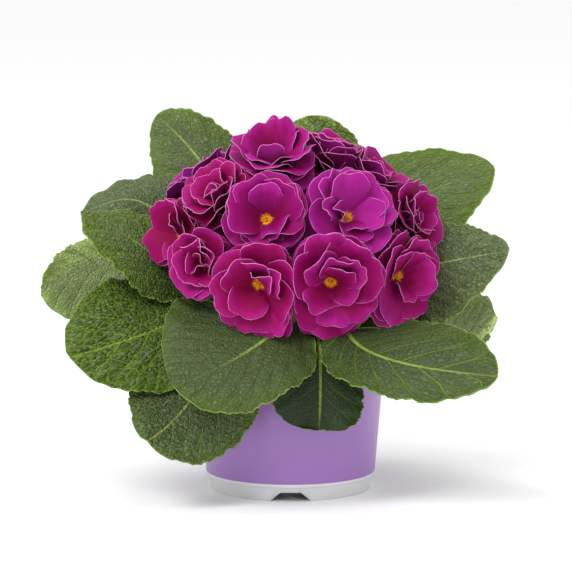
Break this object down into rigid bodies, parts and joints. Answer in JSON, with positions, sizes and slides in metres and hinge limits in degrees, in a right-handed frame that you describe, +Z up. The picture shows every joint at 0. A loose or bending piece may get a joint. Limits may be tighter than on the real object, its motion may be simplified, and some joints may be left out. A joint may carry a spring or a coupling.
{
  "type": "potted primrose",
  "caption": "Double-flowered primrose in a small round plastic grower's pot: a rosette of blistered leaves under a dome of ruffled blooms.",
  "frame": {"origin": "on the ground under the middle of the whole plant in plan; the pot's axis stands 8.3 mm to +X and 1.8 mm to -Y of it", "axes": "+Z up, +X to the right of the side that the lowest front leaf hangs on, -Y towards a viewer of that side"},
  "size_m": [0.2381, 0.2042, 0.1907],
  "materials": {
    "pot": "satin, printed band with a bare foot",
    "soil": "granular compost",
    "stalk": "soft, hairy",
    "leaf": "blistered, satin",
    "petal": "velvety"
  },
  "bodies": {
    "root": {"pot": "pot", "soil": "soil", "crown_and_stalks": "stalk", "leaf_front_left": "leaf", "leaf_front_right": "leaf", "leaf_front_low": "leaf", "leaf_left_hanging": "leaf", "leaf_left_low": "leaf", "leaf_far_left": "leaf", "leaf_left": "leaf", "leaf_left_high": "leaf", "leaf_back_left": "leaf", "leaf_back": "leaf", "leaf_back_right": "leaf", "leaf_right": "leaf", "leaf_right_low": "leaf", "leaf_back_low_left": "leaf", "leaf_back_upright": "leaf", "leaf_back_low": "leaf", "leaf_back_low_right": "leaf", "leaf_right_back": "leaf", "bloom_01": "petal", "bloom_02": "petal", "bloom_03": "petal", "bloom_04": "petal", "bloom_05": "petal", "bloom_06": "petal", "bloom_07": "petal", "bloom_08": "petal", "bloom_09": "petal", "bloom_10": "petal", "bloom_11": "petal", "bloom_12": "petal", "bloom_13": "petal", "bloom_14": "petal", "bloom_15": "petal", "bloom_16": "petal", "bloom_17": "petal", "bloom_18": "petal"}
  },
  "joints": []
}
